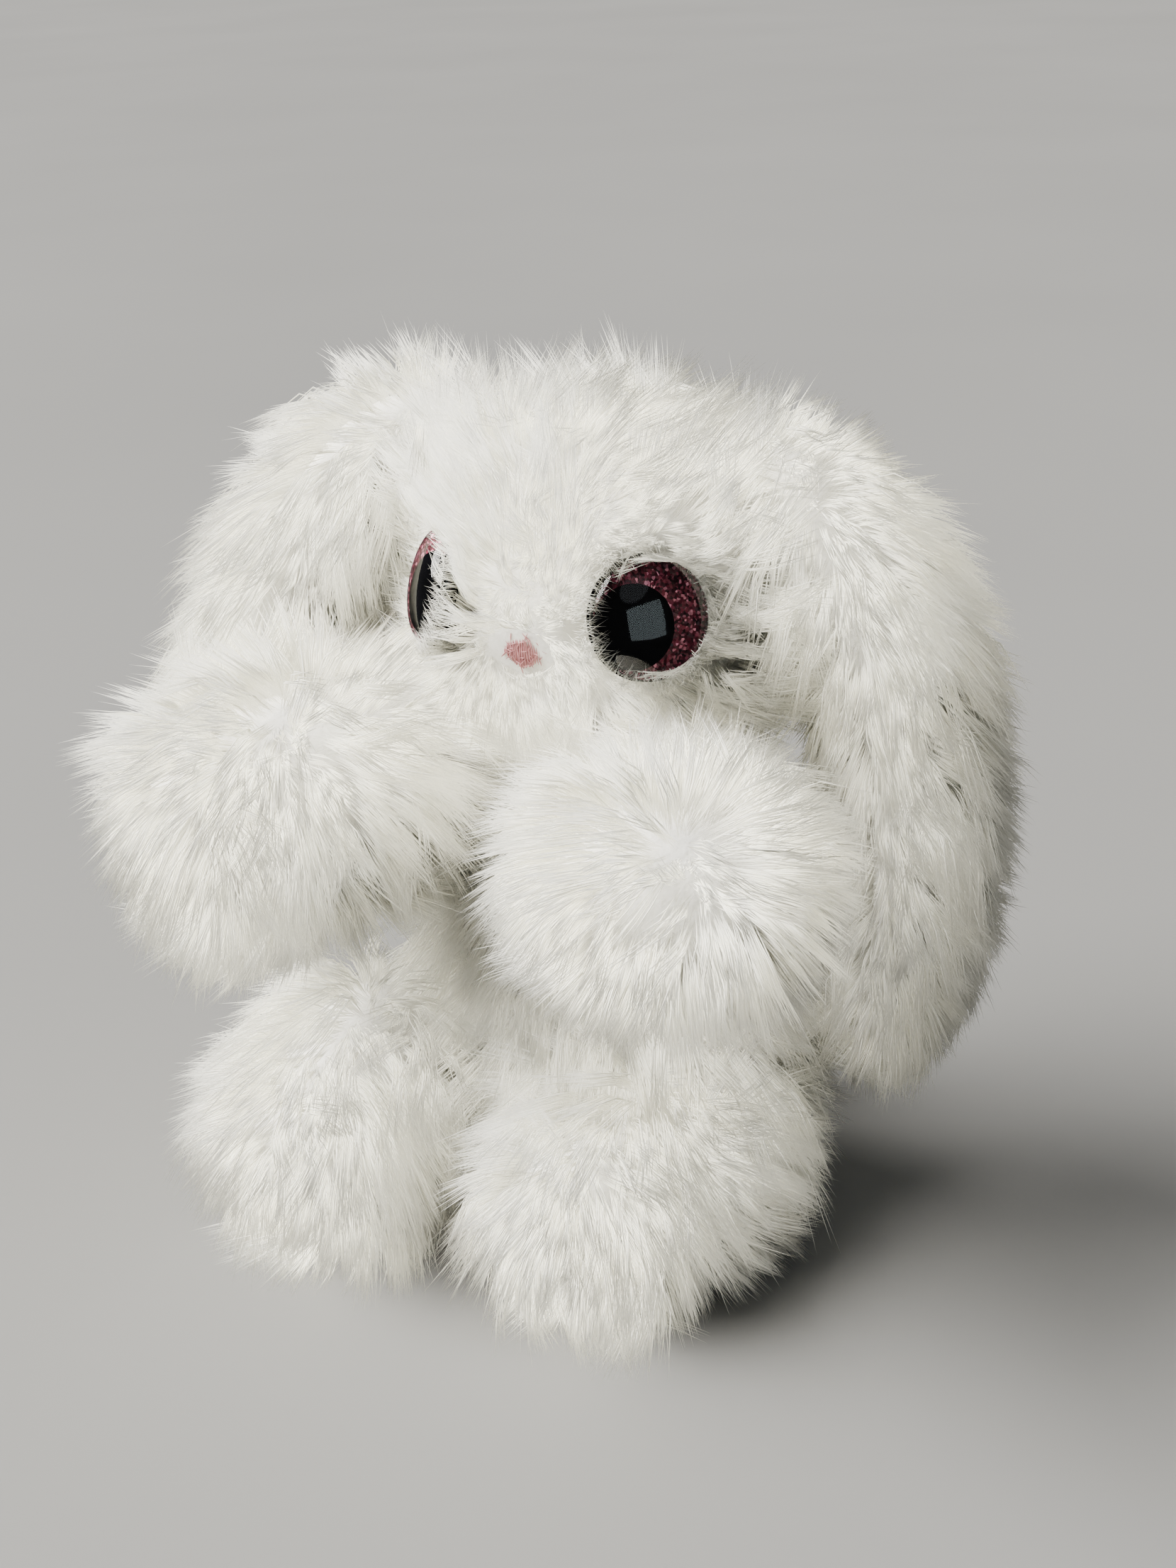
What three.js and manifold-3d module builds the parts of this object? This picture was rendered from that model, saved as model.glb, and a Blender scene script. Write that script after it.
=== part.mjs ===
// A long-pile plush lop-eared rabbit, sitting, with both arms raised in front of its cheeks.
//
// Millimetres, +Z up. The toy faces -Y and its own left side is +X. The origin is the middle of
// the flat that it sits on. Every fur-covered form is the outline of the brushed coat, out to the
// tips of the pile, so a form is larger than the stuffed shape under it by the depth of the pile.

import * as THREE from "three";
import { mergeVertices } from "three/addons/utils/BufferGeometryUtils.js";
import Module from "manifold-3d";

const wasm = await Module();
wasm.setup();

// ---------------------------------------------------------------- driving dimensions

const SEAM_GAP = 0.3; // clear space between two neighbouring pieces
const FLOOR_LEVEL = 0; // feet and seat end in small flats at this height
const CUTTER_SIZE = 400; // side of the block that trims what would hang under the floor
const PILE_RELIEF = 1; // how far the lumps of the brushed pile rise and fall
const PILE_RELIEF_STEP = 25; // how far off a swept form's middle line its lumps are read

// Head: wider than tall, tipped back so that the face looks up. The pile is clipped short over the
// face, which makes a shallow bowl with a parted hollow round each eye and round the nose.
const HEAD_CENTRE = [0, -3, 121];
const HEAD_RADII = [41.5, 38, 36];
const CHEEK_FULLNESS = 3;
const CHEEK_DIRECTION = [0.75, -0.35, -0.55];
const FACE_CLIP = { depth: 8, inner: 0, outer: 70 }; // millimetres, and degrees off its axis
const FACE_DIRECTION = [0, -1, 0.02];
const EYE_HOLLOW = { depth: 14, inner: 20, outer: 46 };
const NOSE_HOLLOW = { depth: 9, inner: 10, outer: 32 };

// Body: pear-shaped, widest near the seat.
const BODY_PATH = [[0, 0, -3], [0, -1, 96]];
const BODY_HALF_WIDTH = 46;
const BODY_HALF_DEPTH = 37;
const BODY_SHOULDER_TAPER = 0.34;

// Legs: a round haunch on each side and a short stuffed stub pointing forward, the right one
// turned out. The pile splays out on the floor round each foot.
const LEG_LEFT = { path: [[18, -3, 28], [12.5, -56, 17]], halfWidth: 22.8, halfHeight: 25 };
const LEG_RIGHT = { path: [[-30, -9, 40], [-38.5, -62, 16]], halfWidth: 23.5, halfHeight: 28 };
const SPLAY_LEFT = { centre: [9.5, -38, 8], radii: [24, 14.5, 16] };
const SPLAY_RIGHT = { centre: [-40, -44, 8], radii: [26, 14.5, 16] };
const HAUNCH_CENTRE = [25, -15, 19];
const HAUNCH_RADII = [19.5, 27, 24];

// Arms: short round stubs, the left one raised towards the front, the right one spread outwards.
const ARM_LEFT = { path: [[16, -13, 88], [30, -34, 90], [43, -67, 101]], halfWidth: 29.5, halfHeight: 23.5 };
const ARM_RIGHT = { path: [[-14, -11, 91], [-36, -33, 91], [-61, -61, 82]], halfWidth: 28, halfHeight: 27.5 };
const ARM_SHOULDER = 0.85; // how wide an arm is at the shoulder against its paw

// Ears: long lop ears hung from the sides of the crown, the right one draped outside the arm.
const EAR_LEFT_PATH = [[18, 2, 150], [37, 7, 134], [47.5, 15, 104], [50, 20, 68], [44, 22, 21]];
const EAR_RIGHT_PATH = [[-19, 6, 149], [-42, 1, 139], [-57, -8, 113], [-67, -14, 81], [-72, -17, 34]];
const EAR_HALF_WIDTH = 26; // half of front to back across the blade
const EAR_HALF_THICKNESS = 15.5; // half of the way through the blade, with the pile on both faces

// Tail: a round pompom low on the back.
const TAIL_CENTRE = [0, 39, 24];
const TAIL_RADIUS = 16;

// Eyes: clear domed discs on the sides of the face, sunk to the cloth under the pile.
const EYE_RADIUS = 10;
const EYE_YAW = 53; // degrees from straight ahead to each side
const EYE_PITCH = 16; // degrees upwards
const EYE_CENTRE = [19.2, -18.4, 122.2];
const EYE_DOME_HEIGHT = 4.6;
const EYE_BACK_DEPTH = 3.2;

// Nose: a small stitched rounded triangle, flat on the cloth at the tip of the muzzle.
const NOSE_CENTRE = [0, -24.8, 115.8];
const NOSE_WIDTH = 9;
const NOSE_HEIGHT = 5.6;
const NOSE_DEPTH = 3;

// ---------------------------------------------------------------- materials

const whitePlush = () => new THREE.MeshStandardMaterial({ color: 0xf2efe9, roughness: 1, metalness: 0 });
const clearDome = () => new THREE.MeshStandardMaterial({ color: 0x7a2138, roughness: 0.08, metalness: 0.1 });
const pinkThread = () => new THREE.MeshStandardMaterial({ color: 0xb9747a, roughness: 0.85, metalness: 0 });

// ---------------------------------------------------------------- forms

const vec = (p) => new THREE.Vector3(...p);
const mirrored = (p) => [-p[0], p[1], p[2]];

// A gentle lumpiness of the brushed pile at a point on a form.
function pileRelief(p) {
  const a = Math.sin(p.x * 0.31 + p.z * 0.17) * Math.sin(p.y * 0.29 - p.z * 0.23);
  const b = Math.sin(p.x * 0.53 - p.y * 0.47) * Math.sin(p.z * 0.61 + p.x * 0.19);
  return PILE_RELIEF * (0.6 * a + 0.4 * b);
}

// A closed form from a sphere with its poles on Z: shape(direction) gives the point that a
// direction moves to.
function formFromSphere(shape, around, along) {
  const geometry = new THREE.SphereGeometry(1, around, along).rotateX(Math.PI / 2);
  const position = geometry.attributes.position;
  const direction = new THREE.Vector3();
  for (let i = 0; i < position.count; i++) {
    direction.fromBufferAttribute(position, i).normalize();
    const point = shape(direction);
    position.setXYZ(i, point.x, point.y, point.z);
  }
  return geometry;
}

// A rounded swelling: 1 along the axis, falling to 0 away from it; sharpness narrows it.
function swelling(direction, axis, sharpness) {
  return Math.pow(Math.max(0, direction.dot(axis)), sharpness);
}

// How deep the pile is clipped: the full depth within the inner angle, nothing past the outer one.
function clipped(direction, axis, { depth, inner, outer }) {
  const angle = THREE.MathUtils.radToDeg(direction.angleTo(axis));
  return depth * (1 - THREE.MathUtils.smoothstep(angle, inner, outer));
}

// A furry ball or oval.
function ballForm(centre, radii, grow, around, along) {
  return formFromSphere((direction) => {
    const point = direction.clone().multiply(vec(radii)).add(vec(centre));
    return point.addScaledVector(direction, grow + pileRelief(point));
  }, around, along);
}

// A body, stub or ear: blunt-ended sections set along a curve. halfWidth runs along `side`,
// halfThickness across it, and t goes from 0 at the start of the path to 1 at its end.
function sweptForm({ path, side, halfWidth, halfThickness, bluntness, grow, around, along }) {
  const curve = new THREE.CatmullRomCurve3(path.map(vec), false, "centripetal");
  const sideHint = vec(side).normalize();
  return formFromSphere((direction) => {
    const polar = Math.acos(THREE.MathUtils.clamp(direction.z, -1, 1));
    const t = 1 - polar / Math.PI;
    const fullness = Math.pow(1 - Math.pow(Math.abs(2 * t - 1), bluntness), 1 / bluntness);
    const turn = Math.atan2(direction.y, direction.x);
    const tangent = curve.getTangentAt(t);
    const across = new THREE.Vector3().crossVectors(tangent, sideHint).normalize();
    const aside = new THREE.Vector3().crossVectors(across, tangent).normalize();
    const outward = aside.clone().multiplyScalar(Math.cos(turn)).addScaledVector(across, Math.sin(turn));
    const point = curve.getPointAt(t);
    const relief = pileRelief(point.clone().addScaledVector(outward, PILE_RELIEF_STEP));
    const endGrow = Math.sign(2 * t - 1) * grow * (1 - fullness);
    point.addScaledVector(tangent, endGrow);
    point.addScaledVector(aside, (halfWidth(t) + grow + relief) * fullness * Math.cos(turn));
    point.addScaledVector(across, (halfThickness(t) + grow + relief) * fullness * Math.sin(turn));
    return point;
  }, around, along);
}

// ---------------------------------------------------------------- joining and cutting

function solidFrom(geometry) {
  const bare = geometry.clone();
  bare.deleteAttribute("normal");
  bare.deleteAttribute("uv");
  const merged = mergeVertices(bare, 1e-4);
  return new wasm.Manifold(new wasm.Mesh({
    numProp: 3,
    vertProperties: new Float32Array(merged.attributes.position.array),
    triVerts: new Uint32Array(merged.index.array),
  }));
}

function geometryFrom(solid) {
  const mesh = solid.getMesh();
  const geometry = new THREE.BufferGeometry();
  geometry.setAttribute("position", new THREE.BufferAttribute(new Float32Array(mesh.vertProperties), 3));
  geometry.setIndex(new THREE.BufferAttribute(new Uint32Array(mesh.triVerts), 1));
  geometry.computeVertexNormals();
  return geometry;
}

function cut(solid, cutters) {
  return cutters.reduce((left, cutter) => left.subtract(cutter), solid);
}

const underFloor = solidFrom(
  new THREE.BoxGeometry(CUTTER_SIZE, CUTTER_SIZE, CUTTER_SIZE)
    .translate(0, 0, FLOOR_LEVEL - CUTTER_SIZE / 2),
);

// ---------------------------------------------------------------- the toy's forms

function headForm(grow = 0) {
  const centre = vec(HEAD_CENTRE);
  const cheeks = [CHEEK_DIRECTION, mirrored(CHEEK_DIRECTION)].map((p) => vec(p).normalize());
  const face = vec(FACE_DIRECTION).normalize();
  const nose = vec(NOSE_CENTRE).sub(centre).normalize();
  const eyes = [EYE_CENTRE, mirrored(EYE_CENTRE)].map((p) => vec(p).sub(centre).normalize());
  return solidFrom(formFromSphere((direction) => {
    const fullness = CHEEK_FULLNESS * (swelling(direction, cheeks[0], 6) + swelling(direction, cheeks[1], 6));
    const clip = clipped(direction, face, FACE_CLIP)
      + clipped(direction, nose, NOSE_HOLLOW)
      + clipped(direction, eyes[0], EYE_HOLLOW)
      + clipped(direction, eyes[1], EYE_HOLLOW);
    const point = direction.clone().multiply(vec(HEAD_RADII)).add(centre);
    return point.addScaledVector(direction, fullness - clip + grow + pileRelief(point));
  }, 32, 22));
}

function bodyForm(grow = 0) {
  return solidFrom(sweptForm({
    path: BODY_PATH,
    side: [1, 0, 0],
    halfWidth: (t) => BODY_HALF_WIDTH * (1 - BODY_SHOULDER_TAPER * t),
    halfThickness: (t) => BODY_HALF_DEPTH * (1 - BODY_SHOULDER_TAPER * t),
    bluntness: 3.8,
    grow,
    around: 20,
    along: 10,
  }));
}

function legForm({ path, halfWidth, halfHeight }, haunchCentre, splay, grow = 0) {
  const haunch = solidFrom(ballForm(haunchCentre, HAUNCH_RADII, grow, 14, 10));
  const foot = solidFrom(ballForm(splay.centre, splay.radii, grow, 14, 8));
  const stub = solidFrom(sweptForm({
    path,
    side: [1, 0, 0],
    halfWidth: () => halfWidth,
    halfThickness: () => halfHeight,
    bluntness: 3.4,
    grow,
    around: 20,
    along: 14,
  }));
  return stub.add(haunch).add(foot);
}

function armForm({ path, halfWidth, halfHeight }, grow = 0) {
  const swell = (t) => ARM_SHOULDER + (1 - ARM_SHOULDER) * t;
  return solidFrom(sweptForm({
    path,
    side: [1, 0, 0],
    halfWidth: (t) => halfWidth * swell(t),
    halfThickness: (t) => halfHeight * swell(t),
    bluntness: 2.5,
    grow,
    around: 20,
    along: 14,
  }));
}

function earForm(path, grow = 0) {
  return solidFrom(sweptForm({
    path,
    side: [0, 1, 0],
    halfWidth: (t) => EAR_HALF_WIDTH * (0.6 + 0.8 * t - 0.3 * t * t),
    halfThickness: (t) => EAR_HALF_THICKNESS * (1.1 - 0.15 * t),
    bluntness: 2.8,
    grow,
    around: 16,
    along: 20,
  }));
}

function tailForm(grow = 0) {
  return solidFrom(ballForm(TAIL_CENTRE, [TAIL_RADIUS, TAIL_RADIUS, TAIL_RADIUS], grow, 14, 10));
}

// The way that an eye looks: out to its side and a little up.
function eyeDirection(side) {
  const yaw = THREE.MathUtils.degToRad(EYE_YAW);
  const pitch = THREE.MathUtils.degToRad(EYE_PITCH);
  return new THREE.Vector3(
    side * Math.sin(yaw) * Math.cos(pitch),
    -Math.cos(yaw) * Math.cos(pitch),
    Math.sin(pitch),
  );
}

// A quarter of an oval from the axis to the rim, as steps for a lathe profile.
function ovalQuarter(rim, rise, steps) {
  return Array.from({ length: steps + 1 }, (_, i) => {
    const angle = (Math.PI / 2) * (i / steps);
    const radius = i === 0 ? 0 : rim * Math.sin(angle);
    return new THREE.Vector2(radius, rise * Math.cos(angle));
  });
}

// A domed disc with a shallow rounded back, turned to face out of the side of the face.
function eyeForm(side, grow = 0) {
  const rim = EYE_RADIUS + grow;
  const back = ovalQuarter(rim, -(EYE_BACK_DEPTH + grow), 3);
  const dome = ovalQuarter(rim, EYE_DOME_HEIGHT + grow, 5).reverse().slice(1);
  const geometry = new THREE.LatheGeometry([...back, ...dome], 20);
  const turn = new THREE.Quaternion().setFromUnitVectors(new THREE.Vector3(0, 1, 0), eyeDirection(side));
  const centre = side > 0 ? EYE_CENTRE : mirrored(EYE_CENTRE);
  return solidFrom(geometry.applyQuaternion(turn).translate(...centre));
}

function noseForm(grow = 0) {
  return solidFrom(formFromSphere((direction) => {
    const narrowing = 1 + 0.45 * direction.z;
    return new THREE.Vector3(
      NOSE_CENTRE[0] + direction.x * (NOSE_WIDTH / 2 + grow) * narrowing,
      NOSE_CENTRE[1] + direction.y * (NOSE_DEPTH / 2 + grow),
      NOSE_CENTRE[2] + direction.z * (NOSE_HEIGHT / 2 + grow),
    );
  }, 12, 8));
}

// ---------------------------------------------------------------- pieces

const forms = {
  head: headForm,
  body: bodyForm,
  arm_left: (grow) => armForm(ARM_LEFT, grow),
  arm_right: (grow) => armForm(ARM_RIGHT, grow),
  leg_left: (grow) => legForm(LEG_LEFT, HAUNCH_CENTRE, SPLAY_LEFT, grow),
  leg_right: (grow) => legForm(LEG_RIGHT, mirrored(HAUNCH_CENTRE), SPLAY_RIGHT, grow),
  ear_left: (grow) => earForm(EAR_LEFT_PATH, grow),
  ear_right: (grow) => earForm(EAR_RIGHT_PATH, grow),
  tail: tailForm,
  eye_left: (grow) => eyeForm(1, grow),
  eye_right: (grow) => eyeForm(-1, grow),
  nose: noseForm,
};

// A piece keeps the space that it shares with the pieces before it in this list.
const SEWING_ORDER = [
  "eye_left", "eye_right", "nose", "head", "arm_left", "arm_right",
  "ear_left", "ear_right", "leg_left", "leg_right", "body", "tail",
];
const MATERIALS = { eye_left: clearDome, eye_right: clearDome, nose: pinkThread };

const group = new THREE.Group();
SEWING_ORDER.forEach((name, index) => {
  const cutters = SEWING_ORDER.slice(0, index).map((earlier) => forms[earlier](SEAM_GAP));
  const solid = cut(forms[name](0), [...cutters, underFloor]);
  const material = (MATERIALS[name] ?? whitePlush)();
  const mesh = new THREE.Mesh(geometryFrom(solid), material);
  mesh.name = name;
  group.add(mesh);
});

export default group;
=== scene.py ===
"""A sitting plush lop-eared rabbit: stuffed cloth forms under a long brushed white pile, domed
glitter eyes and a stitched nose. Metres, +Z up; the toy faces -Y and its own left side is +X."""

import math

import bmesh
import bpy
import numpy as np
from mathutils import Matrix, Vector
from mathutils.bvhtree import BVHTree
from mathutils.kdtree import KDTree


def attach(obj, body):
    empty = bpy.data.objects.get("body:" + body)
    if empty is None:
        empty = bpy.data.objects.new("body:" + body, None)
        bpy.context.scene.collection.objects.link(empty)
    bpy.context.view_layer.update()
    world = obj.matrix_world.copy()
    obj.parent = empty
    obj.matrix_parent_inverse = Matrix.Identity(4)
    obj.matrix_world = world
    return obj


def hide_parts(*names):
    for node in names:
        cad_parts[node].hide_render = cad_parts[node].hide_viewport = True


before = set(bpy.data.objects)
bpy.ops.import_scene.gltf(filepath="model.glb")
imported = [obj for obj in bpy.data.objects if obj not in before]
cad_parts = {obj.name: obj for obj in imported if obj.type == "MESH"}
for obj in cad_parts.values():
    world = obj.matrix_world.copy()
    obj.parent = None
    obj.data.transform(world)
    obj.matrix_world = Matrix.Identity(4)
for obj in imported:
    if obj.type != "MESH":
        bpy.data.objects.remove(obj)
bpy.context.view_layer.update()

RNG = np.random.default_rng(20)

# ---------------------------------------------------------------- small helpers

X_AXIS = np.array((1.0, 0.0, 0.0))
Y_AXIS = np.array((0.0, 1.0, 0.0))
DOWN = np.array((0.0, 0.0, -1.0))
MM = 0.001


def unit(vectors):
    """Vectors of length one; a zero vector stays zero."""
    length = np.linalg.norm(vectors, axis=-1, keepdims=True)
    return vectors / np.maximum(length, 1e-12)


def dot(a, b):
    return np.sum(a * b, axis=-1, keepdims=True)


def smoothstep(x, low, high):
    s = np.clip((x - low) / (high - low), 0, 1)
    return s * s * (3 - 2 * s)


def mirrored(point):
    return np.array(point) * (-1, 1, 1)


def angle_from(direction, axis):
    return np.degrees(np.arccos(np.clip(direction @ axis, -1, 1)))


def ripple(points, size, seed):
    """Smooth noise of about -1 to 1 with lumps of that size, as a column."""
    source = np.random.default_rng(seed)
    total = np.zeros(len(points))
    for _ in range(7):
        way = unit(source.normal(size=3)) * 2 * math.pi / (size * source.uniform(0.7, 1.6))
        total += np.sin(points @ way + source.uniform(0, 2 * math.pi))
    return total[:, None] / 2.6


def ripple_vector(points, size, seed):
    return np.hstack([ripple(points, size, seed + k) for k in range(3)])


def new_object(name, mesh):
    thing = bpy.data.objects.new(name, mesh)
    bpy.context.scene.collection.objects.link(thing)
    return thing


def mesh_object(name, bm, *materials):
    """The finished bmesh as a smooth object at the origin."""
    bmesh.ops.recalc_face_normals(bm, faces=bm.faces)
    mesh = bpy.data.meshes.new(name)
    bm.to_mesh(mesh)
    bm.free()
    mesh.shade_smooth()
    for material in materials:
        mesh.materials.append(material)
    return new_object(name, mesh)


# ---------------------------------------------------------------- sizes

# Paths and half sizes are those of the brushed pile's outline. A stuffed form lies inside it by
# the depth of its pile.
HEAD_CENTRE = np.array((0.0, -0.003, 0.121))
HEAD_RADII = np.array((0.0285, 0.0250, 0.0235))
FACE_DIRECTION = unit(np.array((0.0, -1.0, 0.02)))
FACE_FLATTENING = 0.0030
FACE_SPREAD = 65  # degrees from the face's middle to the end of its flattening
EYE_SEAT = 0.0048
EYE_SEAT_SPREAD = (18, 38)  # degrees from a seat's middle to where it begins to rise, and ends

PILE_DEPTH = 0.010
ARM_PILE_DEPTH = 0.0105
BODY_PATH = ((0, 0, -0.003), (0, -0.001, 0.096))
BODY_HALF_WIDTH = 0.046
BODY_HALF_DEPTH = 0.037
BODY_TAPER = 0.34
ARM_TAPER = 0.15
LEG_LEFT_PATH = ((0.018, -0.003, 0.028), (0.0125, -0.056, 0.017))
LEG_RIGHT_PATH = ((-0.030, -0.009, 0.040), (-0.0385, -0.062, 0.016))
ARM_LEFT_PATH = ((0.016, -0.013, 0.088), (0.030, -0.034, 0.090), (0.043, -0.067, 0.101))
ARM_RIGHT_PATH = ((-0.014, -0.011, 0.091), (-0.036, -0.033, 0.091), (-0.061, -0.061, 0.082))
EAR_LEFT_PATH = ((0.018, 0.002, 0.150), (0.037, 0.007, 0.134), (0.0475, 0.015, 0.104),
                 (0.050, 0.020, 0.068), (0.044, 0.022, 0.021))
EAR_RIGHT_PATH = ((-0.019, 0.006, 0.149), (-0.042, 0.001, 0.139), (-0.057, -0.008, 0.113),
                  (-0.067, -0.014, 0.081), (-0.072, -0.017, 0.034))
EAR_HALF_WIDTH = 0.026
EAR_HALF_THICKNESS = 0.0155
HAUNCH_CENTRE = np.array((0.025, -0.015, 0.019))
HAUNCH_RADII = np.array((0.0095, 0.016, 0.013))
TAIL_CENTRE = np.array((0.0, 0.036, 0.024))
TAIL_RADIUS = 0.0075

EYE_CENTRE = np.array((0.0192, -0.0184, 0.1222))
EYE_YAW = math.radians(53)
EYE_PITCH = math.radians(16)
EYE_RADIUS = 0.0100
EYE_DOME_HEIGHT = 0.0046
IRIS_RADIUS = 0.0093
PUPIL_RADIUS = 0.0063
PUPIL_SHIFT = 0.0030  # how far each pupil sits from its eye's middle, towards the nose
EYE_FRINGE = 0.0009  # how far the pile's opening sits out from each eye's middle
NOSE_CENTRE = np.array((0.0, -0.0248, 0.1158))
NOSE_HALF_WIDTH = 0.0045
NOSE_HALF_HEIGHT = 0.0029


def eye_centre(side):
    return EYE_CENTRE if side > 0 else mirrored(EYE_CENTRE)


def eye_direction(side):
    return np.array((side * math.sin(EYE_YAW) * math.cos(EYE_PITCH),
                     -math.cos(EYE_YAW) * math.cos(EYE_PITCH), math.sin(EYE_PITCH)))


# ---------------------------------------------------------------- stuffed forms

CURVE_STEPS = 80


def smooth_path(path):
    """Points evenly spaced by length on a centripetal curve through the path, and tangents."""
    given = np.array(path, float)
    knots = np.vstack([2 * given[:1] - given[1:2], given, 2 * given[-1:] - given[-2:-1]])
    stretches = []
    for p0, p1, p2, p3 in zip(knots, knots[1:], knots[2:], knots[3:]):
        t0 = 0.0
        t1 = t0 + math.sqrt(np.linalg.norm(p1 - p0))
        t2 = t1 + math.sqrt(np.linalg.norm(p2 - p1))
        t3 = t2 + math.sqrt(np.linalg.norm(p3 - p2))
        t = np.linspace(t1, t2, CURVE_STEPS)[:, None]
        a1 = ((t1 - t) * p0 + (t - t0) * p1) / (t1 - t0)
        a2 = ((t2 - t) * p1 + (t - t1) * p2) / (t2 - t1)
        a3 = ((t3 - t) * p2 + (t - t2) * p3) / (t3 - t2)
        b1 = ((t2 - t) * a1 + (t - t0) * a2) / (t2 - t0)
        b2 = ((t3 - t) * a2 + (t - t1) * a3) / (t3 - t1)
        stretches.append(((t2 - t) * b1 + (t - t1) * b2) / (t2 - t1))
    line = np.vstack(stretches)
    run = np.concatenate([[0], np.cumsum(np.linalg.norm(np.diff(line, axis=0), axis=1))])
    even = np.linspace(0, run[-1], 4 * CURVE_STEPS)
    points = np.stack([np.interp(even, run, line[:, k]) for k in range(3)], axis=1)
    return points, unit(np.gradient(points, axis=0))


def sample(values, t):
    """What was sampled evenly along a path, read at t from 0 to 1."""
    places = np.linspace(0, 1, len(values))
    return np.stack([np.interp(t, places, values[:, k]) for k in range(3)], axis=1)


def turn_and_t(direction):
    """Where a direction lies on a form: the turn round it, and t from 0 at its foot to 1."""
    t = 1 - np.arccos(np.clip(direction[:, 2], -1, 1)) / math.pi
    return np.arctan2(direction[:, 1], direction[:, 0]), t


def swept_form(path, side, half_width, half_thickness, bluntness, pile):
    """A blunt-ended stub, ear or body along a path, inside its outline by the pile's depth."""
    points, tangents = smooth_path(path)
    drawn_in = pile / np.linalg.norm(np.diff(points, axis=0), axis=1).sum()

    def shape(direction):
        turn, t = turn_and_t(direction)
        fullness = (1 - np.abs(2 * t - 1) ** bluntness) ** (1 / bluntness)
        t = drawn_in + t * (1 - 2 * drawn_in)
        tangent = unit(sample(tangents, t))
        across = unit(np.cross(tangent, side))
        aside = unit(np.cross(across, tangent))
        width = (half_width(t) - pile) * fullness * np.cos(turn)
        thickness = (half_thickness(t) - pile) * fullness * np.sin(turn)
        return sample(points, t) + aside * width[:, None] + across * thickness[:, None]

    return shape


def arm_form(path, half_width, half_thickness):
    """A round stub that widens towards its paw."""
    return swept_form(path, X_AXIS,
                      lambda t: half_width * (1 - ARM_TAPER * (1 - t)),
                      lambda t: half_thickness * (1 - ARM_TAPER * (1 - t)),
                      bluntness=2.5, pile=ARM_PILE_DEPTH)


def leg_form(path, half_width, half_thickness):
    """A blunt stub, as wide at the foot as at the body."""
    return swept_form(path, X_AXIS, lambda t: half_width, lambda t: half_thickness,
                      bluntness=3.4, pile=PILE_DEPTH)


def ear_form(path):
    """A flat lobe that widens towards its tip."""
    return swept_form(path, Y_AXIS,
                      lambda t: EAR_HALF_WIDTH * (0.6 + 0.8 * t - 0.3 * t * t),
                      lambda t: EAR_HALF_THICKNESS * (1.1 - 0.15 * t),
                      bluntness=2.8, pile=PILE_DEPTH)


def body_form():
    """An upright loaf, narrower at the neck."""
    return swept_form(BODY_PATH, X_AXIS,
                      lambda t: BODY_HALF_WIDTH * (1 - BODY_TAPER * t),
                      lambda t: BODY_HALF_DEPTH * (1 - BODY_TAPER * t),
                      bluntness=3.8, pile=PILE_DEPTH)


def ball_form(centre, radii):
    return lambda direction: centre + direction * radii


def head_form(direction):
    """The stuffed head: flattened over the face, with a shallow seat for each eye."""
    from_face = angle_from(direction, FACE_DIRECTION)
    inset = FACE_FLATTENING * (1 - smoothstep(from_face, 0, FACE_SPREAD))
    for side in (1, -1):
        from_eye = angle_from(direction, unit(eye_centre(side) - HEAD_CENTRE))
        inset = inset + EYE_SEAT * (1 - smoothstep(from_eye, *EYE_SEAT_SPREAD))
    return HEAD_CENTRE + direction * HEAD_RADII - direction * inset[:, None]


class Part:
    """A stuffed form and how the pile lies on it."""

    def __init__(self, name, shape, whorl, density=4.0, lift=58, settle=38, nap=0.0,
                 droop=0.25, hang=0.0, stray=0.5, shortest=0.007, longest=0.028,
                 thickness=0.28 * MM, wisp=12, tuft=7, crown=0.010, pieces=1, path=None):
        self.name = name
        self.shape = shape
        self.whorl = np.array(whorl)  # the point that the pile fans out from
        self.density = density  # strands to a square millimetre
        self.lift = math.radians(lift)  # how steeply a strand leaves the cloth
        self.settle = math.radians(settle)  # and how steep it still is at its tip
        self.nap = nap  # how much of its lie runs along the form
        self.droop = droop
        self.hang = hang  # how much further the pile reaches underneath, as a share
        self.stray = stray
        self.shortest = shortest
        self.longest = longest
        self.thickness = thickness
        self.wisp = wisp  # strands that share a point
        self.tuft = tuft  # wisps that lean together
        self.crown = crown  # how far from the whorl the pile stands up
        self.pieces = pieces
        self.path = path


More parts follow.
